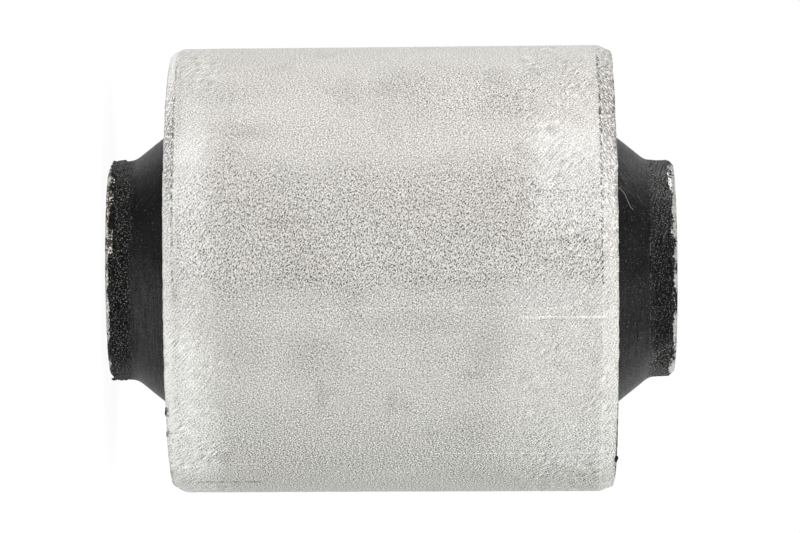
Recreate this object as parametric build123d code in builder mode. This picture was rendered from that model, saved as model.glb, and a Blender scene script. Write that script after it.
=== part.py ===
"""A bonded rubber and metal bush for a suspension arm: outer sleeve, moulded rubber body, inner sleeve.

All three pieces are bodies of revolution about +Z, alike at both ends, and the origin is the
middle of the bolt bore. The outer sleeve is pressed into the arm's eye. A bolt through the
inner sleeve clamps its two end faces between the lugs of a bracket, and the rubber, bonded to
both sleeves, lets the arm twist and give. Millimetres throughout.
"""

import os

from build123d import *

# Outer sleeve: a tube with a turned lead-in at each end, so that it presses in straight
SLEEVE_DIAMETER = 45.0
SLEEVE_LENGTH = 44.5
SLEEVE_WALL = 3.0
LEAD_IN_LENGTH = 1.4  # along the axis, from the full diameter to the end face
LEAD_IN_DROP = 0.7  # how far the lead-in cone falls towards the axis
CORNER_CHAMFER = 0.3  # between the lead-in cone and the end face
MOUTH_CHAMFER = 0.4  # at the bore's two mouths

# Inner sleeve: a thick tube, longer than the outer one, that the bolt clamps by its ends
TUBE_DIAMETER = 21.7
TUBE_LENGTH = 57.0
BOLT_BORE = 12.2
TUBE_EDGE_CHAMFER = 0.5
BORE_CHAMFER = 0.8

# Rubber body: it fills the space between the sleeves and flares down onto the inner one
BARE_END = 0.8  # length of inner sleeve that stands clear of rubber at each end
CUFF_LENGTH = 1.8  # of the thin cuff on the inner sleeve, from its edge to the flare's foot
CUFF_THICKNESS = 0.18
FLARE_FOOT_ROUND = 0.8  # where the flare runs out onto the cuff
GROOVE_DEPTH = 3.0  # of the moulded groove between flare and outer sleeve, below the end face
GROOVE_FLOOR_WIDTH = 1.15
GROOVE_FLANK_WIDTH = 2.0  # how far the outer flank leans in from the outer sleeve's bore
GROOVE_ROUND = 0.75
LIP_DROP = 0.5  # how far below the end face the rubber's edge meets the outer sleeve's bore

# Sizes that follow from the ones above
sleeve_radius = SLEEVE_DIAMETER / 2
sleeve_bore_radius = sleeve_radius - SLEEVE_WALL
sleeve_end = SLEEVE_LENGTH / 2
tube_radius = TUBE_DIAMETER / 2
tube_end = TUBE_LENGTH / 2
bore_radius = BOLT_BORE / 2
cuff_radius = tube_radius + CUFF_THICKNESS
cuff_edge = tube_end - BARE_END
flare_foot = cuff_edge - CUFF_LENGTH
lip_height = sleeve_end - LIP_DROP
groove_floor = sleeve_end - GROOVE_DEPTH
groove_outer_radius = sleeve_bore_radius - GROOVE_FLANK_WIDTH
groove_inner_radius = groove_outer_radius - GROOVE_FLOOR_WIDTH


def corners_at(sketch, radius, height):
    """The section's two corners at this radius, as far above the middle as below it."""
    return [
        corner
        for corner in sketch.vertices()
        if abs(corner.X - radius) < 1e-6 and abs(abs(corner.Y) - height) < 1e-6
    ]


with BuildPart() as outer_sleeve:
    with BuildSketch(Plane.XZ) as sleeve_section:
        with BuildLine():
            Polyline(
                (sleeve_bore_radius, 0),
                (sleeve_bore_radius, sleeve_end),
                (sleeve_radius - LEAD_IN_DROP, sleeve_end),
                (sleeve_radius, sleeve_end - LEAD_IN_LENGTH),
                (sleeve_radius, 0),
            )
            mirror(about=Plane.XZ)
        make_face()
        chamfer(corners_at(sleeve_section, sleeve_bore_radius, sleeve_end), MOUTH_CHAMFER)
        chamfer(corners_at(sleeve_section, sleeve_radius - LEAD_IN_DROP, sleeve_end), CORNER_CHAMFER)
    revolve(axis=Axis.Z)

with BuildPart() as inner_sleeve:
    with BuildSketch(Plane.XZ) as tube_section:
        with BuildLine():
            Polyline(
                (bore_radius, 0),
                (bore_radius, tube_end),
                (tube_radius, tube_end),
                (tube_radius, 0),
            )
            mirror(about=Plane.XZ)
        make_face()
        chamfer(corners_at(tube_section, bore_radius, tube_end), BORE_CHAMFER)
        chamfer(corners_at(tube_section, tube_radius, tube_end), TUBE_EDGE_CHAMFER)
    revolve(axis=Axis.Z)

with BuildPart() as rubber_body:
    with BuildSketch(Plane.XZ) as rubber_section:
        with BuildLine():
            Polyline(
                (tube_radius, 0),
                (tube_radius, cuff_edge),
                (cuff_radius, cuff_edge),
                (cuff_radius, flare_foot),
                (groove_inner_radius, groove_floor),
                (groove_outer_radius, groove_floor),
                (sleeve_bore_radius, lip_height),
                (sleeve_bore_radius, 0),
            )
            mirror(about=Plane.XZ)
        make_face()
        fillet(corners_at(rubber_section, cuff_radius, flare_foot), FLARE_FOOT_ROUND)
        fillet(corners_at(rubber_section, groove_inner_radius, groove_floor), GROOVE_ROUND)
        fillet(corners_at(rubber_section, groove_outer_radius, groove_floor), GROOVE_ROUND)
    revolve(axis=Axis.Z)

outer_sleeve.part.label = "outer_sleeve"
inner_sleeve.part.label = "inner_sleeve"
rubber_body.part.label = "rubber_body"

os.makedirs("parts", exist_ok=True)
export_step(outer_sleeve.part, "parts/outer_sleeve.step")
export_step(inner_sleeve.part, "parts/inner_sleeve.step")
export_step(rubber_body.part, "parts/rubber_body.step")
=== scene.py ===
"""Looks of a bonded rubber and metal bush: a blasted aluminium sleeve, rubber, and a steel inner sleeve.

Everything is in the part's own frame. The bush stands on one end of its inner sleeve, its axis is Z, and
the camera faces it from -Y with the axis lying across the picture, so that the lower end is on the left.
A place on a round surface is given by its height in millimetres and its turn in degrees: 0 faces the
camera and 90 is the top of the picture (-X).
"""

import itertools
import math

import bpy
import numpy as np
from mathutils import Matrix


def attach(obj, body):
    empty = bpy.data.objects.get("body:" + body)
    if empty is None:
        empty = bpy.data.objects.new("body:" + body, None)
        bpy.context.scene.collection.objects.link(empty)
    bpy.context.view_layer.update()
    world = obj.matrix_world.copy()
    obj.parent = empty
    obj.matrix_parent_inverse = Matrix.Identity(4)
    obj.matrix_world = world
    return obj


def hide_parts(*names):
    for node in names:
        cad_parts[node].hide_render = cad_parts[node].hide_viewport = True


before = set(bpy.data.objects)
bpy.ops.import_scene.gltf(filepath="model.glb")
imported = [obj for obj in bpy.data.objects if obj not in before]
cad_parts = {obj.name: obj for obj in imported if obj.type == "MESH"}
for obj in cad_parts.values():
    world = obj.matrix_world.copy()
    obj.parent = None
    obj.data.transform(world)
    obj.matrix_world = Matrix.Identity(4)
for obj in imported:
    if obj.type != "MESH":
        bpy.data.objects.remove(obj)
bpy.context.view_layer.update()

MM = 0.001
RADIAN = math.pi / 180  # of one degree

# The part's own sizes, in millimetres: radii, and heights above the middle
SLEEVE_RADIUS = 22.5
SLEEVE_BORE = 19.5
SLEEVE_END = 22.25
LEAD_IN_START = 20.85
LEFT_LEAD_IN_RADIUS = 21.75  # at the end face
RIGHT_LEAD_IN_RADIUS = 21.93
TUBE_RADIUS = 10.85
TUBE_END = 28.5
TUBE_RIM_RADIUS = 10.42  # outside of the chamfered end face
BOLT_BORE = 6.1
BORE_MOUTH = 6.9
CUFF_RADIUS = 11.03
CUFF_EDGE = 27.7
FLARE_FOOT = 25.9
GROOVE_FLOOR = 19.25
GROOVE_INNER = 16.35
GROOVE_OUTER = 17.5
LIP_HEIGHT = 21.75


# ---------------------------------------------------------------- shapes


def rise(value, start, end):
    """0 before start, 1 past end, and a smooth climb between them."""
    part = np.clip((value - start) / (end - start), 0.0, 1.0)
    return part * part * (3.0 - 2.0 * part)


def hump(value, start, end, soft):
    """1 between start and end, fading to 0 over the soft width outside them."""
    return rise(value, start - soft, start) * (1.0 - rise(value, end, end + soft))


def cell_numbers(cells, seed):
    """A repeatable number from 0 to 1 for each whole-numbered cell of a lattice."""
    mixed = cells[..., 0] * 73856093 + cells[..., 1] * 19349663 + cells[..., 2] * 83492791
    mixed = mixed + seed * 2654435761
    mixed = (mixed ^ (mixed >> 13)) & 0xFFFFFFFF
    mixed = (mixed * 1274126177) & 0xFFFFFFFF
    mixed = mixed ^ (mixed >> 16)
    return (mixed & 0xFFFF) / 65535.0


def noise(points, cell, seed):
    """Smooth repeatable noise from -1 to 1, with lumps about one cell across."""
    scaled = points / cell
    base = np.floor(scaled).astype(np.int64)
    part = scaled - base
    part = part * part * (3.0 - 2.0 * part)
    total = 0.0
    for corner in itertools.product((0, 1), repeat=3):
        weight = np.prod(np.where(np.array(corner), part, 1.0 - part), axis=-1)
        total = total + weight * cell_numbers(base + np.array(corner), seed)
    return 2.0 * total - 1.0


def profile(place, *knots):
    """A value that runs straight from one (place, value) knot to the next."""
    places, values = zip(*knots)
    return np.interp(place, places, values)


def cross_section(corners):
    """A closed outline of (radius, height) points.

    Each corner gives its radius, its height, its rounding and the spacing of the run after it.
    """
    places = [np.array(corner[:2], float) for corner in corners]
    steps = np.linspace(0.0, 1.0, 5)[:, None]
    arcs = []
    for i, here in enumerate(places):
        rounding = corners[i][2]
        back = places[i - 1] - here
        ahead = places[(i + 1) % len(places)] - here
        back_length = np.linalg.norm(back)
        ahead_length = np.linalg.norm(ahead)
        reach = min(rounding, 0.45 * back_length, 0.45 * ahead_length)
        start = here + back / back_length * reach
        end = here + ahead / ahead_length * reach
        arcs.append((1 - steps) ** 2 * start + 2 * steps * (1 - steps) * here + steps**2 * end)
    outline = []
    for i, arc in enumerate(arcs):
        spacing = corners[i][3]
        outline.extend(arc)
        run = arcs[(i + 1) % len(arcs)][0] - arc[-1]
        pieces = max(1, math.ceil(np.linalg.norm(run) / spacing))
        outline.extend(arc[-1] + run * k / pieces for k in range(1, pieces))
    return np.array(outline)


class Ring:
    """The points of one turned piece: columns around the axis, rows along a closed cross-section."""

    def __init__(self, outline, columns):
        along = np.roll(outline, -1, axis=0) - np.roll(outline, 1, axis=0)
        along /= np.linalg.norm(along, axis=1)[:, None]
        turns = -180.0 + 360.0 * np.arange(columns) / columns
        self.turn = np.repeat(turns[:, None], len(outline), axis=1)
        self.radius = np.repeat(outline[None, :, 0], columns, axis=0)
        self.height = np.repeat(outline[None, :, 1], columns, axis=0)
        self.out_radius = np.repeat(along[None, :, 1], columns, axis=0)
        self.out_height = np.repeat(-along[None, :, 0], columns, axis=0)

    def push(self, amount):
        """Moves the surface outwards by an amount at each point."""
        self.radius = self.radius + self.out_radius * amount
        self.height = self.height + self.out_height * amount

    def points(self):
        """The place of each point, in millimetres."""
        angle = np.radians(self.turn)
        flat = (-self.radius * np.sin(angle), -self.radius * np.cos(angle), self.height)
        return np.stack(flat, axis=-1)

    def build(self, name, body, replaced, material, layers):
        """Makes the piece, with a number at each point for every named layer that its material reads."""
        columns, rows = self.turn.shape
        index = np.arange(columns * rows).reshape(columns, rows)
        right = np.roll(index, -1, axis=0)
        above = np.roll(index, -1, axis=1)
        corner = np.roll(right, -1, axis=1)
        faces = np.stack((index, above, corner, right), axis=-1).reshape(-1, 4)
        piece = mesh_piece(name, self.points().reshape(-1, 3), faces, material)
        for layer, values in layers.items():
            attribute = piece.data.attributes.new(layer, "FLOAT", "POINT")
            spread = np.broadcast_to(values, (columns, rows))
            attribute.data.foreach_set("value", spread.astype(np.float32).ravel())
        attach(piece, body)
        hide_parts(replaced)
        return piece


def mesh_piece(name, points, faces, material):
    """A smooth mesh object from points in millimetres and faces of four corners."""
    mesh = bpy.data.meshes.new(name)
    mesh.vertices.add(len(points))
    mesh.vertices.foreach_set("co", (np.asarray(points) * MM).astype(np.float32).ravel())
    mesh.loops.add(faces.size)
    mesh.loops.foreach_set("vertex_index", faces.astype(np.int32).ravel())
    mesh.polygons.add(len(faces))
    mesh.polygons.foreach_set("loop_start", np.arange(0, faces.size, 4, dtype=np.int32))
    mesh.polygons.foreach_set("use_smooth", np.ones(len(faces), dtype=bool))
    mesh.materials.append(material)
    mesh.update(calc_edges=True)
    mesh.validate()
    piece = bpy.data.objects.new(name, mesh)
    bpy.context.scene.collection.objects.link(piece)
    return piece


def on_surface(radius, turn, height):
    """The place at a radius, a turn in degrees and a height."""
    angle = math.radians(turn)
    return np.array((-radius * math.sin(angle), -radius * math.cos(angle), height))


def bead(name, path, widths, material, sides=8, seed=1, roughen=0.0):
    """A closed lumpy strand through a list of points, as thick at each as its width."""
    path = np.array(path, float)
    ahead = np.gradient(path, axis=0)
    ahead /= np.linalg.norm(ahead, axis=1)[:, None]
    aside = np.array((0.31, 0.17, 0.93))  # any direction that the path never follows
    side = np.cross(ahead, aside)
    side /= np.linalg.norm(side, axis=1)[:, None]
    top = np.cross(ahead, side)
    angle = 2 * math.pi * np.arange(sides) / sides
    radii = np.array(widths)[:, None, None] / 2
    across = side[:, None] * np.cos(angle)[None, :, None]
    around = across + top[:, None] * np.sin(angle)[None, :, None]
    points = path[:, None] + around * radii
    if roughen:
        lumps = noise(points, 0.22, seed)[..., None]
        points = path[:, None] + around * radii * (1.0 + roughen * lumps)
    points = points.reshape(-1, 3)
    faces = []
    for i in range(len(path) - 1):
        for j in range(sides):
            low = i * sides + j
            high = i * sides + (j + 1) % sides
            faces.append((low, low + sides, high + sides, high))
    first = len(points)
    last = first + 1
    points = np.vstack((points, path[0], path[-1]))
    tail = (len(path) - 1) * sides
    for j in range(0, sides, 2):
        faces.append((first, j, (j + 1) % sides, (j + 2) % sides))
        faces.append((last, tail + (j + 2) % sides, tail + (j + 1) % sides, tail + j))
    piece = mesh_piece(name, points, np.array(faces), material)
    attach(piece, "root")
    return piece


# ---------------------------------------------------------------- materials


class Number:
    """A value in a material's nodes, so that shading reads as arithmetic."""

    def __init__(self, tree, socket):
        self.tree, self.socket = tree, socket

    def act(self, operation, *others):
        """The outcome of one Math node on this value and the others."""
        node = self.tree.nodes.new("ShaderNodeMath")
        node.operation = operation
        for slot, value in zip(node.inputs, (self, *others)):
            join(self.tree, value, slot)
        return Number(self.tree, node.outputs[0])

    def __add__(self, other):
        return self.act("ADD", other)

    def __sub__(self, other):
        return self.act("SUBTRACT", other)

    def __mul__(self, other):
        return self.act("MULTIPLY", other)

    __radd__ = __add__
    __rmul__ = __mul__

    def __rsub__(self, other):
        return self * -1.0 + other

    def size(self):
        return self.act("ABSOLUTE")

    def rise(self, start, end):
        """0 before start, 1 past end, and a smooth climb between them."""
        node = self.tree.nodes.new("ShaderNodeMapRange")
        node.interpolation_type = "SMOOTHSTEP"
        join(self.tree, self, node.inputs["Value"])
        node.inputs["From Min"].default_value = min(start, end)
        node.inputs["From Max"].default_value = max(start, end)
        if start > end:
            node.inputs["To Min"].default_value = 1.0
            node.inputs["To Max"].default_value = 0.0
        return Number(self.tree, node.outputs["Result"])


def join(tree, value, slot):
    """Links a value to a socket, or writes a plain number there."""
    if isinstance(value, Number):
        tree.links.new(value.socket, slot)
    else:
        slot.default_value = value


class Surface:
    """One material, with the coordinates and noises that its shading is made of."""

    def __init__(self, name, roughness, metallic, specular):
        self.material = bpy.data.materials.new(name)
        self.material.use_nodes = True
        self.tree = self.material.node_tree
        self.shader = self.tree.nodes["Principled BSDF"]
        self.shader.inputs["Roughness"].default_value = roughness
        self.shader.inputs["Metallic"].default_value = metallic
        self.shader.inputs["Specular IOR Level"].default_value = specular
        place = self.node("ShaderNodeTexCoord").outputs["Object"]
        scaled = self.node("ShaderNodeVectorMath", operation="SCALE")
        self.tree.links.new(place, scaled.inputs[0])
        scaled.inputs["Scale"].default_value = 1.0 / MM
        self.place = scaled.outputs[0]
        split = self.node("ShaderNodeSeparateXYZ")
        self.tree.links.new(self.place, split.inputs[0])
        x, y, z = (Number(self.tree, out) for out in split.outputs)
        self.height = z
        self.turn = (x * -1.0).act("ARCTAN2", y * -1.0) * (1.0 / RADIAN)
        self.radius = (x * x + y * y).act("SQRT")

    def node(self, kind, **settings):
        """A new node of a kind, with its settings."""
        made = self.tree.nodes.new(kind)
        for key, value in settings.items():
            setattr(made, key, value)
        return made

    def layer(self, name):
        """The numbers that the piece carries at its points under this name."""
        node = self.node("ShaderNodeAttribute", attribute_name=name)
        return Number(self.tree, node.outputs["Fac"])

    def noise(self, cell, detail=0.0, vector=None, shift=0.0):
        """Noise from 0 to 1 with lumps about one cell across, in millimetres."""
        node = self.node("ShaderNodeTexNoise", noise_dimensions="4D" if shift else "3D")
        self.tree.links.new(vector or self.place, node.inputs["Vector"])
        node.inputs["Scale"].default_value = 1.0 / cell
        node.inputs["Detail"].default_value = detail
        if shift:
            node.inputs["W"].default_value = shift
        return Number(self.tree, node.outputs["Fac"])

    def unrolled(self, lean, along, across, shift, radius):
        """Places on an unrolled round surface, whose two axes lean by some degrees and are each stretched.

        Each shift leads to a far part of the plane, so that no two patterns are the same.
        """
        arc = self.turn * (RADIAN * radius)
        cos = math.cos(math.radians(lean))
        sin = math.sin(math.radians(lean))
        first = (self.height * cos + arc * sin) * (1.0 / along) + shift * 31.7
        second = (arc * cos - self.height * sin) * (1.0 / across) + shift * 17.3
        return self.vector(first, second, 0.0)

    def speckle(self, cell, lean, shift=0.0, across=None, detail=0.0, radius=SLEEVE_RADIUS):
        """Even-sized noise from 0 to 1 over an unrolled round surface, for fine grain and for strokes."""
        node = self.node("ShaderNodeTexNoise", noise_dimensions="2D")
        place = self.unrolled(lean, cell, across or cell, shift, radius)
        self.tree.links.new(place, node.inputs["Vector"])
        node.inputs["Scale"].default_value = 1.0
        node.inputs["Detail"].default_value = detail
        return Number(self.tree, node.outputs["Fac"])

    def vector(self, x, y, z):
        """A place made of three values."""
        node = self.node("ShaderNodeCombineXYZ")
        for value, slot in zip((x, y, z), node.inputs):
            join(self.tree, value, slot)
        return node.outputs[0]

    def mix(self, amount, first, second):
        """A colour that goes from the first to the second as the amount goes from 0 to 1."""
        node = self.node("ShaderNodeMix", data_type="RGBA")
        join(self.tree, amount, node.inputs[0])
        for value, slot in ((first, node.inputs[6]), (second, node.inputs[7])):
            if isinstance(value, tuple):
                slot.default_value = (*value, 1.0)
            else:
                self.tree.links.new(value, slot)
        return node.outputs[2]

    def scale(self, colour, amount):
        """A colour made lighter or darker."""
        node = self.node("ShaderNodeVectorMath", operation="SCALE")
        self.tree.links.new(colour, node.inputs[0])
        join(self.tree, amount, node.inputs["Scale"])
        return node.outputs[0]

    def finish(self, colour, height, depth, roughness=None):
        """Sets the colour, and a relief whose height of 1 stands up by the depth in millimetres."""
        self.tree.links.new(colour, self.shader.inputs["Base Color"])
        bump = self.node("ShaderNodeBump")
        bump.inputs["Strength"].default_value = 1.0
        bump.inputs["Distance"].default_value = depth * MM
        join(self.tree, height, bump.inputs["Height"])
        self.tree.links.new(bump.outputs[0], self.shader.inputs["Normal"])
        if roughness is not None:
            join(self.tree, roughness, self.shader.inputs["Roughness"])
        return self.material


def hairline(surface, turn, low, high, width, waver=0.12):
    """A thin line along the axis, between two heights, at a turn and as wide as its width in millimetres."""
    sway = (surface.noise(1.7, 1.0, surface.vector(surface.height, turn, 0.0)) - 0.5) * waver
    across = ((surface.turn - turn) * (RADIAN * SLEEVE_RADIUS) + sway).size()
    line = across.rise(width, 0.25 * width)
    return line * surface.height.rise(low - 0.8, low) * surface.height.rise(high + 0.8, high)


def spots(surface, places, size):
    """1 in small round spots of a size in millimetres at a list of (height, turn) places, 0 around them."""
    total = 0.0
    for height, turn in places:
        up = surface.height - height
        around = (surface.turn - turn) * (RADIAN * SLEEVE_RADIUS)
        total = (up * up + around * around).act("SQRT").rise(size, size * 0.5) + total
    return total


def blast_grain(s, faced):
    """The blasting's fine grain from about -1 to 1, with turned rings in its place on the end faces."""
    blasted = (s.speckle(0.135, lean=28.0) + s.speckle(0.145, lean=71.0, shift=3.0) - 1.0) * 0.72
    rings = s.noise(0.16, 1.0, s.vector(s.radius, 0.0, 0.0))
    turned = rings + s.noise(0.2, 1.0, shift=6.0) - 1.0
    return blasted * (1.0 - faced) + turned * faced * 0.9


def blast_pits(s, pitting):
    """Short dark pits in two directions, and more of them where the pitting is strong."""
    dashes = (s.speckle(0.26, lean=60.0, shift=1.0, across=0.122) + pitting * 0.08).rise(0.71, 0.765)
    flecks = (s.speckle(0.22, lean=104.0, shift=2.0, across=0.125) + pitting * 0.07).rise(0.72, 0.775)
    return (dashes + flecks * 0.9).act("MINIMUM", 1.0) * pitting.rise(0.05, 0.5)


def lead_in_creases(s, crumple, left_end):
    """Slanted creases from -1 to 1 where pressing has crumpled the lead-ins."""
    left_creases = s.speckle(0.30, lean=62.0, shift=7.0, across=0.14)
    right_creases = s.speckle(0.52, lean=-66.0, shift=8.0, across=0.16)
    creases = left_creases * left_end + right_creases * (1.0 - left_end)
    return (creases.rise(0.50, 0.64) - creases.rise(0.50, 0.36)) * crumple * (1.0 + left_end * 0.9)


def lead_in_seams(s, coarse, left_end):
    """A broken dark line round the upper side of each end, where the lead-in starts."""
    left_height, right_height = -21.30, 20.65
    place = s.height + left_end * (right_height - left_height) - right_height + coarse * 0.30
    broken = s.noise(0.42, 0.0, shift=3.0).rise(0.40, 0.52)
    return place.size().rise(0.14, 0.05) * broken * s.turn.rise(-8.0, -2.0) * s.turn.rise(74.0, 66.0)


def left_lip(s, coarse):
    """A thin pale lip beside the left seam."""
    line = (s.height + 21.08 + coarse * 0.2).size().rise(0.13, 0.04)
    return line * s.turn.rise(2.0, 12.0) * s.turn.rise(70.0, 62.0)


def raised_lines(s):
    """Thin pale lines that stand up a little: two broken mould lines, a painted highlight along a ledge's
    crest and a short scratch.
    """
    mould_line = hairline(s, -9.6, -7.0, 12.5, 0.07)
    low_line = hairline(s, -54.3, 4.5, 20.6, 0.13)
    broken = s.noise(0.35, 0.0, shift=9.0).rise(0.36, 0.52)
    # Painted highlight along the crest of the ledge.
    ledge_highlight = hairline(s, -12.2, 13.0, 20.8, 0.15)
    scratch_run = s.turn * 0.31 + s.height + 1.68
    scratch = scratch_run.size().rise(0.07, 0.02) * s.turn.rise(-6.4, -5.9) * s.turn.rise(-2.4, -2.9)
    return (mould_line + low_line * 1.5) * broken + ledge_highlight + scratch


def pale_marks(s):
    """Small pale flakes in a row and a short pale line, low on the sleeve."""
    flakes = hairline(s, -63.2, -0.2, 2.5, 0.9) * s.noise(0.28, 0.0, shift=7.0).rise(0.54, 0.66)
    short_line = hairline(s, -58.8, -15.4, -13.6, 0.12)
    return flakes + short_line


def dark_marks(s):
    """A row of dark dashes low on the left, and single dark specks."""
    dashes = hairline(s, -70.3, -20.8, -13.4, 0.34) * s.noise(0.6, 0.0, shift=5.0).rise(0.40, 0.50)
    places = [(9.7, -55.0), (21.85, -12.6), (21.85, -31.9), (-20.3, 3.7), (-19.3, -56.5)]
    return dashes + spots(s, places, 0.13)


def blasted_aluminium():
    """Grit-blasted aluminium: fine grain, short dark pits, hatched scratches near the ends, soft stains."""
    s = Surface("blasted_aluminium", roughness=0.6, metallic=0.35, specular=0.4)
    cool_metal, warm_metal = (0.597, 0.597, 0.562), (0.620, 0.596, 0.572)
    cool_polish, warm_polish = (0.595, 0.597, 0.581), (0.603, 0.593, 0.584)
    stain_brown, rubber_black = (0.34, 0.30, 0.24), (0.03, 0.028, 0.026)
    pitting, burnish_and_painted_light, stain = s.layer("pitting"), s.layer("burnish_and_painted_light"), s.layer("stain")
    hatch, warm, residue = s.layer("hatch"), s.layer("warm"), s.layer("residue")
    crumple, fresh_metal_and_painted_light, faced = s.layer("crumple"), s.layer("fresh_metal_and_painted_light"), s.layer("faced")
    left_end = s.height.rise(1.0, -1.0)
    low_side = s.turn.rise(-28.0, -62.0) * s.turn.rise(-120.0, -90.0)
    painted_shade_underside = s.turn.rise(-62.0, -76.0) * low_side
    above_mould_line = s.turn.rise(0.0, -3.5) * s.turn.rise(-9.7, -9.3)
    clean_belt = s.turn.rise(16.0, 21.0) * s.turn.rise(37.0, 31.0)

    grain = blast_grain(s, faced)
    coarse = s.noise(0.85, 1.0) - 0.5
    cloud = s.noise(5.5, 2.0) - 0.5
    pits = blast_pits(s, pitting)
    strokes = s.speckle(1.25, lean=52.0, shift=5.0, across=0.135, detail=0.4) - 0.5
    hatching = strokes * hatch * (1.0 - faced)
    creases_and_painted_light = lead_in_creases(s, crumple, left_end)
    seam = lead_in_seams(s, coarse, left_end)
    lines = raised_lines(s)
    ledge_shade = hairline(s, -12.9, 14.5, 20.5, 0.12)

    tone = (
        1.015
        + clean_belt * 0.04
        - above_mould_line * 0.05
        + grain * (1.72 + low_side * 1.3 - hatch * 0.45 - pitting * 0.62)
        + coarse * 0.12
        + cloud * 0.10
        # Polished metal, and at the lower end painted light over the floor's shade.
        + burnish_and_painted_light * 0.40
        # Rubbed bare metal, and on the lower lead-in also painted light.
        + fresh_metal_and_painted_light * 0.42
        + pitting * 0.13
        + hatching * (1.35 + low_side * 0.8)
        - pits * 0.64
        # Painted light and shade on the creases: lighter where they stand up, darker where they sink.
        + creases_and_painted_light * 0.34
        - crumple * 0.10
        - seam * 0.52
        + left_lip(s, coarse) * 0.14
        # Painted shade: darker on the lower side, and darker still on the underside.
        - low_side * 0.07
        - painted_shade_underside * 0.05
        - stain * 0.17
        # The raised lines hold the painted highlight on the ledge's crest.
        + (lines + pale_marks(s)) * 0.28
        - ledge_shade * 0.14
        - dark_marks(s) * 0.5
    )
    base = s.mix(warm * (1.0 - burnish_and_painted_light * 0.6), cool_metal, warm_metal)
    base = s.mix(burnish_and_painted_light * 0.8, base, s.mix(warm, cool_polish, warm_polish))
    colour = s.scale(base, tone)
    colour = s.mix(stain * cloud.rise(-0.1, 0.3) * 0.35, colour, stain_brown)
    black = residue * (s.noise(0.35, 1.0, shift=2.0) + residue * 0.35).rise(0.52, 0.66)
    colour = s.mix(black, colour, rubber_black)

    relief = grain * 0.5 - pits * 0.6 + hatching * 0.9 + coarse * 0.6
    relief = relief + lines * 0.6 + creases_and_painted_light * 1.2 - seam * 0.8
    roughness = 0.60 - burnish_and_painted_light * 0.12 + pits * 0.15
    return s.finish(colour, relief, 0.03, roughness)


def rubber_scuffs(s, scuff):
    """Slanted scuffs on the cones, which lean the other way at each end."""
    right_end = s.height.rise(-1.0, 1.0)
    right = s.speckle(1.7, lean=-47.0, shift=2.0, across=0.24, detail=1.0, radius=12.5).rise(0.46, 0.72)
    left = s.speckle(1.5, lean=52.0, shift=12.0, across=0.17, detail=1.0, radius=12.5).rise(0.50, 0.72)
    return (right * right_end + left * (1.0 - right_end)) * scuff


def right_cuff_seam(s, mottle):
    """The mould's fine line where the right cone meets its cuff."""
    line = (s.height - 25.76 + mottle * 0.16).size().rise(0.07, 0.02)
    return line * s.turn.rise(-46.0, -42.0) * s.turn.rise(60.0, 50.0)


def curved_scratch(s):
    """A short dark curved scratch low on the right cone."""
    from_middle = s.turn + 31.0
    place = s.height - 24.4 - from_middle * from_middle * 0.0035
    return place.size().rise(0.09, 0.03) * s.turn.rise(-38.0, -36.5) * s.turn.rise(-24.5, -26.0)


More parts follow.
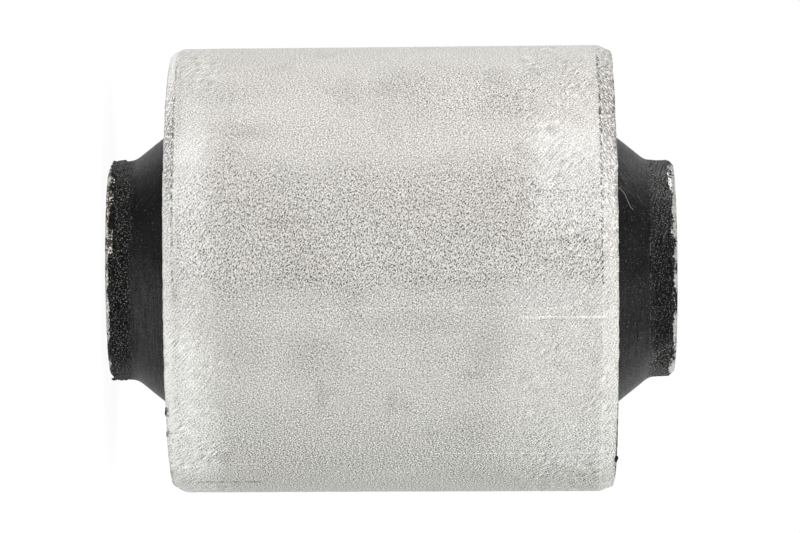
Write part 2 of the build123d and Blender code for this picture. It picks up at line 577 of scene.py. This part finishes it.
def black_rubber():
    """Moulded black rubber: satin cones with hoops, scuffs, dust and a grey bloom that also paints a sheen,
    and a torn crumbly cuff at each end whose pale crumbs also paint highlights.
    """
    s = Surface("black_rubber", roughness=0.45, metallic=0.0, specular=0.06)
    clean_black, bloom_and_sheen_grey = (0.0036, 0.0039, 0.0048), (0.080, 0.081, 0.084)
    scuff_grey, dust_grey = (0.12, 0.12, 0.116), (0.26, 0.245, 0.215)
    # The first grey on the next line is for crumbs and the highlights painted on them, the second for painted
    # glints.
    crumb_and_highlight_grey, glint_grey = (0.27, 0.265, 0.252), (0.55, 0.545, 0.53)
    gap_black, seam_grey = (0.004, 0.004, 0.004), (0.30, 0.29, 0.27)
    crumble, bloom_and_sheen = s.layer("crumble"), s.layer("bloom_and_sheen")
    streak, scuff = s.layer("streak"), s.layer("scuff")

    fine = s.noise(0.16, 1.0) - 0.5
    mottle = s.noise(0.9, 2.0) - 0.5
    hoops = s.noise(1.0, 1.0, s.vector(s.height * 5.5, s.turn * 0.06, 0.0)) - 0.5
    scuffs = rubber_scuffs(s, scuff)
    skin_grain = s.speckle(0.15, lean=21.0, shift=11.0, radius=13.0) - 0.5
    skin_grain = skin_grain * s.height.size().rise(19.4, 20.6)  # none on the groove's floor
    drags = s.speckle(2.6, lean=76.0, shift=4.0, across=0.15, detail=1.0, radius=11.0) - 0.5
    dust = s.noise(0.16, 0.0, shift=4.0).rise(0.715, 0.77)
    seam = right_cuff_seam(s, mottle)
    seam_glint = seam * s.noise(0.45, 0.0, shift=5.5).rise(0.44, 0.60) * s.turn.rise(26.0, 22.0)
    scratch = curved_scratch(s)

    grit = s.speckle(0.165, lean=33.0, shift=6.0, radius=11.0, detail=1.3)
    patchy = s.noise(0.7, 1.0, shift=2.5).rise(0.34, 0.60)
    # Pale threads and lumps on the cuffs: crumbs of rubber whose pale grey also paints their highlights.
    threads = (grit - 0.5).size().rise(0.055, 0.015) * (patchy * 0.8 + 0.2)
    lumps = s.speckle(0.17, lean=68.0, shift=7.0, radius=11.0).rise(0.58, 0.72)
    torn_crumbs_and_highlights = (threads * 0.23 + lumps * 0.30) * crumble * (patchy * 0.95 + 0.2)
    glints = s.speckle(0.15, lean=12.0, shift=9.0, radius=11.0).rise(0.70, 0.76)
    holes = s.speckle(0.25, lean=15.0, shift=13.0, radius=11.0, detail=0.5).rise(0.53, 0.44)
    gaps = (crumble - 1.0).rise(0.1, 0.6) * holes

    # The bloom's grey also stands for a painted sheen, lighter on the cones' lower side and near their top.
    base = s.mix(bloom_and_sheen * (1.0 + mottle * 0.6), clean_black, bloom_and_sheen_grey)
    tone = 1.0 + fine * 1.4 + skin_grain * 1.5 + mottle * 0.5 + hoops * (1.0 - crumble * 0.7) * 1.4
    tone = tone + drags * streak * 6.0 - scratch * 0.8
    tone = tone - grit.rise(0.50, 0.36) * crumble * 0.6 - seam * 0.5
    colour = s.scale(base, tone.act("MAXIMUM", 0.12))
    colour = s.mix(scuffs * 0.5, colour, scuff_grey)
    colour = s.mix(dust * 0.55, colour, dust_grey)
    colour = s.mix(torn_crumbs_and_highlights, colour, crumb_and_highlight_grey)
    colour = s.mix(glints * crumble * 0.8, colour, glint_grey)
    colour = s.mix(gaps * 0.85, colour, gap_black)
    colour = s.mix(seam_glint * 0.4, colour, seam_grey)

    relief = fine * 0.4 + mottle * 0.35 + hoops * 0.3 + (grit * 0.9 + threads * 0.5) * crumble
    relief = relief + drags * streak * 0.9 - seam * 0.5 - scratch * 0.5 + skin_grain * 0.25
    roughness = 0.42 + mottle * 0.18 + crumble * 0.12
    return s.finish(colour, relief, 0.06, roughness)


def sleeve_steel():
    """Turned steel of the inner sleeve: tool rings, scuffs, rust, and dark rubber left on it by the mould."""
    s = Surface("sleeve_steel", roughness=0.35, metallic=1.0, specular=0.5)
    dull_steel, clean_steel = (0.26, 0.25, 0.235), (0.60, 0.59, 0.57)
    rust_brown, bright_steel, rubber_black = (0.060, 0.044, 0.028), (0.88, 0.87, 0.85), (0.020, 0.019, 0.017)
    residue, rust = s.layer("residue"), s.layer("rust")
    rings = s.noise(0.12, 2.0, s.vector(s.radius, s.height * 0.6, 0.0)) - 0.5
    fine = s.noise(0.17, 1.0) - 0.5
    mottle = s.noise(1.1, 2.0) - 0.5
    end_face = s.height.size().rise(28.3, 28.42)
    black = (s.noise(0.24, 2.0, shift=1.5) + residue * 0.55).rise(0.66, 0.78)
    brown = (s.noise(0.35, 2.0, shift=8.0) + rust * 0.22).rise(0.60, 0.72)
    glints = s.noise(0.22, 1.0, shift=3.5).rise(0.57, 0.66) * (1.0 - end_face * 0.85)

    blend = mottle * 1.2 + fine * (1.6 - end_face * 1.2) + 0.5
    steel = s.mix(blend.act("MINIMUM", 1.0), dull_steel, clean_steel)
    colour = s.scale(steel, 1.0 + rings * (0.5 + end_face * 1.3) + fine * (0.7 - end_face * 0.4))
    colour = s.mix(brown * 0.95, colour, rust_brown)
    colour = s.mix(glints * 0.9, colour, bright_steel)
    colour = s.mix(black, colour, rubber_black)
    relief = rings * (0.5 + end_face) + fine * 0.6 + black * 0.9
    roughness = 0.34 + fine * 0.2 + black * 0.3 + brown * 0.3
    return s.finish(colour, relief, 0.035, roughness)


def plain_fibre():
    """The grey of a stray fibre."""
    s = Surface("grey_fibre", roughness=0.6, metallic=0.0, specular=0.3)
    shade = s.noise(0.3, 1.0)
    colour = s.mix(shade, (0.20, 0.20, 0.19), (0.34, 0.33, 0.31))
    return s.finish(colour, shade, 0.01)


# ---------------------------------------------------------------- pieces


def sleeve_outline():
    """The outer sleeve's section, whose two lead-ins fall by slightly different amounts."""
    mouth = 19.9
    return cross_section(
        [
            (SLEEVE_RADIUS, -LEAD_IN_START, 0.5, 0.36),
            (SLEEVE_RADIUS, LEAD_IN_START, 0.3, 0.13),
            (RIGHT_LEAD_IN_RADIUS, SLEEVE_END, 0.22, 0.2),
            (mouth, SLEEVE_END, 0.1, 0.2),
            (SLEEVE_BORE, 21.85, 0.1, 6.0),
            (SLEEVE_BORE, -21.85, 0.1, 0.2),
            (mouth, -SLEEVE_END, 0.1, 0.2),
            (LEFT_LEAD_IN_RADIUS, -SLEEVE_END, 0.3, 0.13),
        ]
    )


def sleeve_regions(ring):
    """How far each point of the sleeve belongs to its outside, to the lead-ins and to the end faces."""
    outer = rise(ring.radius, 20.8, 21.3)
    lead = outer * rise(np.abs(ring.height), 20.7, 21.0)
    face = rise(np.abs(ring.height), 22.05, 22.2)
    return outer, lead, face


def bruise_sleeve(ring):
    """Moves the sleeve's points: long waves, the blasting, a ledge, nicks and softened, crumpled lead-ins."""
    outer, lead, face = sleeve_regions(ring)
    turn, z = ring.turn, ring.height
    points = ring.points()
    long_waves = noise(points, 7.0, 1) * 0.012 + noise(points, 2.1, 2) * 0.007
    blast = noise(points, 0.55, 3) * 0.006
    slanted = points.copy()
    slanted[..., 2] = (z + turn * 0.25) * 0.6
    crumple = noise(slanted, 0.5, 4) * 0.040 + noise(points, 1.4, 5) * 0.030
    nick = rise(noise(points, 0.9, 6), 0.45, 0.85) * rise(np.abs(z), 21.5, 22.1)
    upper = rise(turn, 35.0, 70.0) * (1 - rise(turn, 150.0, 170.0))
    softened = rise(-z, 21.6, 22.25) ** 2 * 0.12 * upper
    ledge = rise(-turn, 11.9, 12.4) * (1 - rise(-turn, 30.0, 50.0)) * hump(z, 13.0, 20.6, 1.0) * 0.022
    taper = 0.0028  # the outside widens by this much for each millimetre of height
    ring.radius = ring.radius + outer * (taper * z)
    outwards = outer * (long_waves + blast + ledge) + lead * crumple
    ring.push(outwards - outer * (nick * 0.11 + softened) + face * long_waves)


def crumpled_share(turn, z):
    """Where pressing has crumpled the lead-ins: most of all on the upper side of both ends."""
    left = profile(
        turn, (-180, 0.5), (-70, 0.3), (-40, 0.0), (-8, 0.15), (2, 0.3), (14, 0.55),
        (24, 1), (50, 1), (58, 0.5), (75, 0.3), (120, 0.6), (180, 0.5),
    )
    right = profile(
        turn, (-180, 0.5), (-80, 0.2), (-12, 0.1), (0, 0.25), (12, 0.6),
        (25, 1), (66, 1), (72, 0.6), (120, 0.8), (180, 0.5),
    )
    return rise(-z, 21.2, 21.35) * left + rise(z, 20.5, 20.65) * right


def pitted_share(turn):
    """How strongly the blasting has pitted the sleeve: a belt that faces the camera, and another behind."""
    return profile(
        turn, (-180, 0.5), (-150, 0.9), (-120, 0.4), (-90, 0.1), (-60, 0.12), (-30, 0.14), (-8, 0.15),
        (-4, 0.35), (0, 0.75), (5, 0.95), (15, 1), (22, 0.62), (28, 0.28), (34, 0.12), (43, 0.25),
        (52, 0.36), (62, 0.25), (75, 0.05), (90, 0.1), (120, 0.6), (150, 0.9), (180, 0.5),
    )


def polish_and_painted_light_share(turn, z, points):
    """Where rubbing has polished the blasted metal, near both ends. At the lower end this share also paints
    light over the shade that the floor gives there.
    """
    share = 0.45 + 0.38 * hump(turn, 18, 32, 8) + 0.32 * hump(turn, -60, -16, 14)
    share = share * hump(z, -22.3, -20.2, 4.5)
    share = share * (1 - 0.75 * rise(turn, 30, 52)) * (1 - 0.3 * hump(turn, -14, -4, 6))
    share = share + hump(z, -22.3, -18.5, 3.0) * hump(turn, -60, -42, 6) * 0.25
    share = share + hump(z, 17.0, 20.5, 2.0) * hump(turn, -58, -42, 6) * 0.2
    share = share + hump(z, 15.2, 21.0, 2.5) * hump(turn, 14, 34, 9) * 0.46
    share = share + hump(z, 13.0, 21.0, 4.0) * hump(turn, -56, -8, 12) * 0.22
    behind = rise(np.abs(turn), 95, 110)
    share = share + behind * rise(noise(points, 9.0, 11), 0.1, 0.8) * rise(np.abs(z), 10.0, 20.0) * 0.35
    return np.clip(share, 0.0, 1.0)


def fresh_metal_and_painted_light_share(turn, z):
    """Where the lead-ins are rubbed down to bright bare metal. On the lower lead-in, its upper side and its
    outer edge are also painted light over the shade of the floor and the rounded corner.
    """
    left = rise(-z, 20.9, 21.7) * (0.74 - 0.5 * hump(turn, 20, 36, 8) + 0.80 * hump(turn, 48, 80, 8))
    left_edge = rise(-z, 21.9, 22.05) * (hump(turn, -42, 60, 6) * 0.25 + hump(turn, -12, 52, 8) * 0.25)
    right = rise(z, 20.5, 20.7) * (0.52 + 0.23 * rise(z, 21.0, 21.8)) * (1 - rise(turn, 22, 34))
    return left + left_edge + right


def hatched_share(turn, z, points):
    """Where slanted strokes hatch the metal, near both ends but not along the line straight behind."""
    around = 1 - rise(np.abs(turn), 160, 172)
    left = hump(z, -22.3, -19.0, 5.5) * around * (1.05 - 0.5 * hump(turn, -8, 50, 10))
    right = hump(z, 14.5, 21.0, 4.0) * around * 0.9
    return np.clip(np.maximum(left, right) * (0.65 + 0.6 * noise(points, 2.6, 16)), 0.0, 1.0)


def stained_share(turn, z, points):
    """Soft stains: a faint scatter everywhere, and ragged ones with a place of their own."""
    stains = [  # height, turn, half height in millimetres, half width in degrees, strength
        (-6.9, -33.5, 0.5, 5.5, 0.9),
        (0.0, -35.5, 0.5, 3.5, 0.9),
        (1.4, -36.5, 0.7, 1.5, 0.6),
        (-5.9, -32.0, 1.2, 1.2, 0.6),
        (8.0, -27.5, 1.2, 1.6, 0.6),
        (3.8, -46.0, 0.6, 1.2, 0.7),
        (13.0, -28.0, 0.7, 2.0, 0.5),
        (-16.6, -56.0, 0.8, 3.0, 0.8),
        (-10.0, 12.0, 3.0, 2.4, 0.5),
        (12.0, 47.0, 3.5, 6.0, 0.35),
        (-14.0, 37.0, 2.5, 2.5, 0.5),
        (-9.0, 3.0, 3.0, 7.0, 0.4),
        (3.0, -13.5, 6.0, 3.5, 0.5),
        (-8.0, -22.0, 4.0, 8.0, 0.3),
        (8.0, 8.0, 6.0, 8.0, 0.25),
        (10.0, -16.0, 3.0, 13.0, 0.42),
        (0.6, 50.0, 3.2, 14.0, 0.5),
        (-4.2, 52.0, 1.8, 8.0, 0.5),
        (10.6, 57.0, 1.6, 6.0, 0.45),
        (-18.0, -14.0, 1.8, 5.0, 0.3),
        (-14.0, -20.0, 2.5, 8.0, 0.35),
    ]
    ragged = 1.0 + 0.35 * noise(points, 0.8, 15)
    share = rise(noise(points, 3.4, 13) + noise(points, 1.2, 14) * 0.5, 0.55, 1.1) * 0.35
    for height, middle, tall, wide, strength in stains:
        away = np.hypot((z - height) / tall, (turn - middle) / wide) / ragged
        share = np.maximum(share, strength * (1 - rise(away, 0.3, 1.5)))
    return np.clip(share, 0, 1)


def rubber_left_on_sleeve(ring, outer, points):
    """Black rubber left on the sleeve: at the edges of its end faces, and round its mouths."""
    turn, z = ring.turn, ring.height
    edge = rise(np.abs(z), 21.6, 22.2) * outer
    share = edge * (0.35 + 0.35 * noise(points, 2.0, 18))
    share = share * (1 - 0.7 * (z < 0) * hump(turn, -34, 75, 8) - 0.6 * (z > 0) * hump(turn, -76, 14, 6))
    share = share + edge * (z < 0) * (hump(turn, -41.0, -38.5, 0.8) + hump(turn, -48.5, -46.5, 0.8)) * 0.4
    mouth = (ring.radius < 20.6) * rise(np.abs(z), 20.0, 22.3)
    return np.clip(share + mouth * 0.45, 0.0, 1.0)


def sleeve_shell(material):
    """The outer sleeve: a tube whose short lead-ins are bruised and crumpled where it was pressed."""
    ring = Ring(sleeve_outline(), 448)
    turn, z, r = ring.turn, ring.height, ring.radius
    points = ring.points()
    outer, lead, face = sleeve_regions(ring)
    inner_edge = rise(np.abs(z), 21.7, 21.9) * (r < 20.5) * (1.0 - face)
    faced = face * (1.0 - rise(r, 21.6, 21.9)) + inner_edge
    polish_and_painted_light = polish_and_painted_light_share(turn, z, points)
    pitting = pitted_share(turn) + noise(points, 4.0, 12) * 0.22
    warm = profile(
        turn, (-180, 0.5), (-90, 0.0), (-45, 0.2), (-15, 0.5), (10, 0.75),
        (35, 1.0), (55, 0.8), (80, 0.35), (130, 0.6), (180, 0.5),
    )
    layers = {
        "pitting": np.clip(pitting * (1 - polish_and_painted_light * 0.6) * (1 - lead * 0.9), 0.0, 1.0) * outer,
        "burnish_and_painted_light": polish_and_painted_light * outer,
        "stain": stained_share(turn, z, points) * outer,
        "hatch": hatched_share(turn, z, points) * outer * (1 - faced),
        "warm": np.clip(warm + 0.2 * noise(points, 5.0, 17), 0.0, 1.0),
        "residue": rubber_left_on_sleeve(ring, outer, points),
        "crumple": outer * crumpled_share(turn, z) * (1 - faced),
        "fresh_metal_and_painted_light": fresh_metal_and_painted_light_share(turn, z) * outer * (1 - faced),
        "faced": faced,
    }
    bruise_sleeve(ring)
    return ring.build("sleeve_shell", "root", "outer_sleeve", material, layers)


def rubber_outline():
    """The rubber's section, from the lower cuff out to the sleeve's bore and back along the upper half."""
    spacing_inside = 8.0
    half = [
        (TUBE_RADIUS - 0.05, CUFF_EDGE, 0.06, 0.12),
        (CUFF_RADIUS, CUFF_EDGE, 0.08, 0.12),
        (CUFF_RADIUS, FLARE_FOOT, 0.7, 0.2),
        (GROOVE_INNER, GROOVE_FLOOR, 0.55, 0.2),
        (GROOVE_OUTER, GROOVE_FLOOR, 0.55, 0.2),
        (SLEEVE_BORE + 0.04, LIP_HEIGHT, 0.1, spacing_inside),
    ]
    lower = [(r, -z, rounding, spacing) for r, z, rounding, spacing in half]
    upper = []
    for i in range(len(half) - 1, 0, -1):
        run_after = half[i - 1][3]
        upper.append((*half[i][:3], run_after))
    upper.append((*half[0][:3], spacing_inside))
    return cross_section(lower + upper)


def rubber_regions(ring):
    """How far each point of the rubber can be seen and belongs to a cuff, and which lie at the right end."""
    high = np.abs(ring.height)
    off_tube = rise(ring.radius, TUBE_RADIUS - 0.02, TUBE_RADIUS + 0.05)
    shown = off_tube * rise(high, 19.0, 19.3)
    cuff = shown * rise(high, 25.6, 26.4)
    return high, off_tube, shown, cuff, ring.height > 0


def tear_rubber(ring):
    """Moves the rubber's points: ragged cuff edges, torn skin, slightly uneven cones and a small step."""
    high, off_tube, shown, cuff, right = rubber_regions(ring)
    turn, r = ring.turn, ring.radius
    points = ring.points()
    end = np.sign(ring.height)
    ragged = noise(points, 0.9, 31) * 0.22 + noise(points, 0.33, 32) * 0.14
    edge = rise(high, 27.2, CUFF_EDGE)
    bare = hump(turn, 12, 58, 6) * 0.35
    left_reach = 0.40 + ragged * 0.8 - bare * 1.7
    right_reach = 0.12 + ragged * 0.6 - 0.1 * hump(turn, 52, 75, 6) + 0.12 * hump(turn, -45, 42, 8)
    ring.height = ring.height + end * np.where(right, right_reach, left_reach) * edge * off_tube

    tufts = rise(noise(points, 0.42, 39), 0.35, 0.9) * rise(high, 26.3, 26.6) * np.where(right, 0.04, 0.13)
    skin = cuff * (noise(points, 0.28, 33) * 0.045 + noise(points, 0.8, 34) * 0.03 + tufts)
    cone = shown * (noise(points, 3.5, 35) * 0.03 + noise(points, 1.1, 36) * 0.010)
    step = right * shown * hump(turn, -44, 70, 4) * rise(high, 25.68, 25.78) * 0.035
    ring.push(skin + cone * (1 - edge) + step)

    upward = np.sin(np.radians(turn))
    on_cuff = rise(high, 25.0, 26.5)
    sag = np.where(right, -0.10 - 0.19 * upward, -0.02 + 0.10 * upward) * (1 - on_cuff)
    sag = sag + np.where(right, -0.10 - 0.05 * upward, 0.02 + 0.07 * upward) * on_cuff
    ring.radius = ring.radius + sag * shown * (1 - rise(r, 14.6, 16.0))
    ring.radius = np.where(cuff > 0.4, np.maximum(ring.radius, TUBE_RADIUS + 0.02), ring.radius)


def bloom_and_sheen_share(turn, right, cuff, patch):
    """The grey bloom on the rubber together with a painted sheen: uneven around each cone, strongest on their
    lower side and again near their top, and faint on the cuffs but for the torn patch.
    """
    left_cone = profile(
        turn, (-180, 0.5), (-120, 0.3), (-75, 1.1), (-59, 1.1), (-47, 1.0), (-37, 0.92), (-29, 1.05),
        (-21, 1.13), (-13, 1.04), (-6, 0.72), (1, 0.52), (9, 0.34), (16, 0.26), (24, 0.16), (32, 0),
        (42, 0), (52, 0.22), (62, 0.85), (80, 0.6), (120, 0.3), (180, 0.5),
    )
    right_cone = profile(
        turn, (-180, 0.5), (-120, 0.3), (-75, 1), (-59, 0.82), (-47, 0.44), (-37, 0.34), (-21, 0.31),
        (-13, 0.34), (-6, 0.28), (1, 0.2), (9, 0.15), (16, 0.12), (24, 0.08), (32, 0.1), (42, 0.27),
        (52, 0.36), (62, 0.52), (80, 0.6), (120, 0.3), (180, 0.5),
    )
    right_cuff = profile(
        turn, (-180, 0.3), (-70, 0.3), (-55, 0.25), (-45, 0.12), (-32, 0.04), (3, 0.04), (11, 0.06),
        (20, 0.12), (28, 0.3), (38, 0.45), (50, 0.5), (66, 0.6), (120, 0.3), (180, 0.3),
    )
    left_cuff = 0.02 + 0.2 * rise(np.abs(turn), 45, 65)
    on_cuff = np.where(right, np.maximum(right_cuff, patch * 1.1), left_cuff)
    return np.where(right, right_cone, left_cone) * (1 - cuff) + on_cuff * cuff


def rubber_moulding(material):
    """The rubber body: cones that narrow to a torn cuff on the inner sleeve, and a groove in each mouth."""
    ring = Ring(rubber_outline(), 400)
    high, _, shown, cuff, right = rubber_regions(ring)
    turn, z = ring.turn, ring.height
    points = ring.points()
    frayed = high + noise(points, 0.45, 41) * 0.22
    patch = rise(-52.0 + (high - 25.5) * 4.4 - turn, 0.0, 2.0) * (1 - rise(-turn, 100, 120))
    patch = patch * rise(high, 25.35, 25.6)
    right_crumble = profile(
        turn, (-180, 1), (-90, 1), (-36, 0.35), (-10, 0.35), (20, 0.5), (40, 0.85),
        (70, 0.9), (120, 1), (180, 1),
    )
    right_crumble = np.maximum(right_crumble, patch * 1.8)
    crumble = shown * np.where(right, rise(high, 25.8, 26.0), rise(frayed, 25.75, 26.15))
    crumble = crumble * np.where(right, right_crumble, 1.0)
    crumble = crumble * np.clip(0.85 + 0.4 * noise(points, 1.3, 37), 0, 1)
    # Grey bloom and painted sheen together.
    bloom_and_sheen = bloom_and_sheen_share(turn, right, cuff, patch) * (1 + 0.35 * noise(points, 2.4, 38))
    dark_blotch = (z < 0) * np.exp(-(((high - 24.9) / 0.9) ** 2) - ((turn - 34) / 6.5) ** 2)
    scuff = shown * (1 - cuff) * np.where(right, hump(turn, 38, 70, 8), hump(turn, 34, 66, 8) * 0.6)
    layers = {
        "crumble": np.clip(crumble, 0, 1.8),
        "bloom_and_sheen": np.clip(bloom_and_sheen * (1 - dark_blotch), 0, 1.4) * shown,
        "streak": cuff * right * (1 - patch),
        "scuff": np.clip(scuff * (0.6 + 0.6 * noise(points, 1.5, 40)), 0, 1),
    }
    tear_rubber(ring)
    return ring.build("rubber_moulding", "root", "rubber_body", material, layers)


def tube_outline():
    """The inner sleeve's section, finely spaced near its rims only."""
    rim_start, fine_start, bore_end = 28.1, 27.3, 27.7
    return cross_section(
        [
            (TUBE_RADIUS, -rim_start, 0.12, 0.14),
            (TUBE_RADIUS, -fine_start, 0.0, 6.0),
            (TUBE_RADIUS, fine_start, 0.0, 0.14),
            (TUBE_RADIUS, rim_start, 0.12, 0.12),
            (TUBE_RIM_RADIUS, TUBE_END, 0.12, 0.2),
            (BORE_MOUTH, TUBE_END, 0.15, 0.2),
            (BOLT_BORE, bore_end, 0.15, 2.0),
            (BOLT_BORE, -bore_end, 0.15, 0.2),
            (BORE_MOUTH, -TUBE_END, 0.15, 0.2),
            (TUBE_RIM_RADIUS, -TUBE_END, 0.12, 0.12),
        ]
    )


def inner_tube(material):
    """The inner sleeve: turned steel, with chipped rims and its bolt bore."""
    ring = Ring(tube_outline(), 384)
    turn, z, r = ring.turn, ring.height, ring.radius
    high = np.abs(z)
    left, right = z < 0, z > 0
    points = ring.points()
    rim = rise(r, 10.0, 10.3) * rise(high, 27.4, 27.8)
    rust = left * rim * (hump(turn, 11, 18, 2) + hump(turn, 30, 55, 4))
    rust = rust + 0.25 * rise(noise(points, 3.0, 54), 0.2, 0.7)
    residue = rim * (0.40 + 0.45 * noise(points, 1.3, 53)) + (1 - rim) * 0.12
    residue = residue + rim * (1 - rise(high, 28.0, 28.3)) * 0.35 - rust * 0.25
    residue = residue - right * (hump(turn, 46, 74, 6) * 0.3 + hump(turn, -78, -58, 6) * 0.4)
    residue = residue - right * hump(turn, -14, 32, 6) * 0.16 - left * hump(turn, -40, 14, 6) * 0.2
    layers = {"residue": np.clip(residue, 0, 1), "rust": np.clip(rust, 0, 1)}

    chips = rise(noise(points, 0.7, 51), 0.2, 0.8) * rise(high, 27.9, 28.3)
    worn = rim * (chips * 0.13 + noise(points, 0.3, 52) * 0.02 + 0.02)
    ring.push(-worn - rise(high, 28.3, 28.45) * 0.005)
    ring.height = np.clip(ring.height, -TUBE_END, TUBE_END)
    return ring.build("inner_tube", "root", "inner_sleeve", material, layers)


def rubber_flash(material):
    """Thin black rubber squeezed out along the outer edge of the sleeve's end faces."""
    strands = [  # name, end, first turn, last turn, radius, width, seed
        ("flash_right", 1, -73.0, -37.0, 22.02, 0.08, 41),
        ("flash_right_lump", 1, -61.0, -57.8, 22.03, 0.34, 42),
        ("flash_left_high", -1, -41.0, -37.6, 21.86, 0.12, 43),
        ("flash_left_low", -1, -48.8, -46.2, 21.86, 0.11, 44),
    ]
    for name, end, start, stop, radius, width, seed in strands:
        turns = np.arange(start, stop + 0.1, 0.45)
        places = [on_surface(radius, turn, end * (SLEEVE_END - 0.02)) for turn in turns]
        taper = np.sin(np.pi * np.linspace(0.04, 0.96, len(turns))) ** 0.5
        uneven = 1.0 + 0.5 * noise(np.array(places), 0.7, seed)
        bead(name, places, width * taper * uneven, material, seed=seed, roughen=0.5)


def lint_fibre(material):
    """One pale fibre caught on the rubber of the right cone."""
    bends = [(22.55, 35.2), (22.75, 35.7), (23.2, 34.1), (23.5, 31.1), (23.8, 28.3), (24.05, 27.4)]
    count, width, lift = 26, 0.085, 0.04
    along = np.linspace(0, len(bends) - 1, count)
    heights = profile(along, *enumerate(height for height, turn in bends))
    turns = profile(along, *enumerate(turn for height, turn in bends))
    slope = (GROOVE_INNER - CUFF_RADIUS) / (FLARE_FOOT - GROOVE_FLOOR)
    radii = CUFF_RADIUS + (FLARE_FOOT - heights) * slope + lift
    places = [on_surface(r, t, h) for r, t, h in zip(radii, turns, heights)]
    bead("lint_fibre", places, np.full(count, width), material, sides=6)


# ---------------------------------------------------------------- studio


def background_share(tree):
    """1 for the rays that show the background: from the camera, in gloss and through glass."""
    path = tree.nodes.new("ShaderNodeLightPath")
    names = ("Is Camera Ray", "Is Glossy Ray", "Is Transmission Ray")
    camera, gloss, through = (Number(tree, path.outputs[name]) for name in names)
    return camera.act("MAXIMUM", gloss).act("MAXIMUM", through)


def studio_world(level):
    """White all round for the background, and a plain even fill of a lower level as light."""
    world = bpy.data.worlds.new("studio_white")
    bpy.context.scene.world = world
    world.use_nodes = True
    background = world.node_tree.nodes["Background"]
    background.inputs["Color"].default_value = (1.0, 1.0, 1.0, 1.0)
    strength = background_share(world.node_tree) * (1.0 - level) + level
    world.node_tree.links.new(strength.socket, background.inputs["Strength"])


def pale_floor(radius):
    """A white round floor under the bush: its shadow is faint to the camera, and it lights the bush."""
    shadow_strength = 0.16
    material = bpy.data.materials.new("white_floor")
    material.use_nodes = True
    tree = material.node_tree
    tree.nodes.remove(tree.nodes["Principled BSDF"])
    lit = tree.nodes.new("ShaderNodeBsdfDiffuse")
    lit.inputs["Color"].default_value = (0.85, 0.85, 0.84, 1.0)
    glow = tree.nodes.new("ShaderNodeEmission")
    glow.inputs["Strength"].default_value = 1.12
    shown = tree.nodes.new("ShaderNodeMixShader")
    shown.inputs[0].default_value = shadow_strength
    tree.links.new(glow.outputs[0], shown.inputs[1])
    tree.links.new(lit.outputs[0], shown.inputs[2])
    choice = tree.nodes.new("ShaderNodeMixShader")
    tree.links.new(background_share(tree).socket, choice.inputs[0])
    tree.links.new(lit.outputs[0], choice.inputs[1])
    tree.links.new(shown.outputs[0], choice.inputs[2])
    tree.links.new(choice.outputs[0], tree.nodes["Material Output"].inputs[0])
    bpy.ops.mesh.primitive_circle_add(
        vertices=96, radius=radius * MM, fill_type="NGON", location=(0, 0, -TUBE_END * MM)
    )
    floor = bpy.context.object
    floor.name = "floor"
    floor.data.materials.append(material)


def soft_lamp(name, direction, distance, size, level):
    """A square lamp aimed at the bush, which lights a white surface facing it to the given level."""
    lamp = bpy.data.lights.new(name, "AREA")
    lamp.size = size
    lamp.energy = level * math.pi**2 * distance**2
    holder = bpy.data.objects.new(name, lamp)
    aim = np.array(direction, float)
    aim /= np.linalg.norm(aim)
    holder.location = aim * distance
    holder.rotation_mode = "QUATERNION"
    from_bush = holder.location.normalized()
    holder.rotation_quaternion = from_bush.to_track_quat("Z", "Y")
    bpy.context.scene.collection.objects.link(holder)


def photo_camera():
    """A long lens from the front, lying on its side so that the axis runs across the picture."""
    distance = 0.57165
    yaw = math.radians(0.326)
    roll = math.radians(0.39)
    across = (math.sin(roll), math.sin(yaw) * math.cos(roll), math.cos(yaw) * math.cos(roll))
    upward = (-math.cos(roll), math.sin(yaw) * math.sin(roll), math.cos(yaw) * math.sin(roll))
    back = (0.0, -math.cos(yaw), math.sin(yaw))
    lens = bpy.data.cameras.new("camera")
    lens.sensor_width = 36.0
    lens.lens = 253.96
    lens.shift_x = 0.01025
    lens.shift_y = 0.0035
    lens.clip_start = 0.01
    camera = bpy.data.objects.new("camera", lens)
    bpy.context.scene.collection.objects.link(camera)
    rows = [[across[i], upward[i], back[i], back[i] * distance] for i in range(3)]
    camera.matrix_world = type(camera.matrix_world)(rows + [[0.0, 0.0, 0.0, 1.0]])
    bpy.context.scene.camera = camera


bpy.context.scene.view_settings.view_transform = "Standard"
photo_camera()
studio_world(0.62)
pale_floor(300.0)
soft_lamp("key_top", (-1.0, 0.05, 0.1), 0.9, 0.6, 0.35)
soft_lamp("fill_front", (-0.15, -0.95, 0.1), 0.9, 0.5, 0.25)
soft_lamp("fill_low", (0.8, -0.5, 0.2), 0.9, 0.5, 0.09)

rubber = black_rubber()
sleeve_shell(blasted_aluminium())
rubber_moulding(rubber)
inner_tube(sleeve_steel())
rubber_flash(rubber)
lint_fibre(plain_fibre())
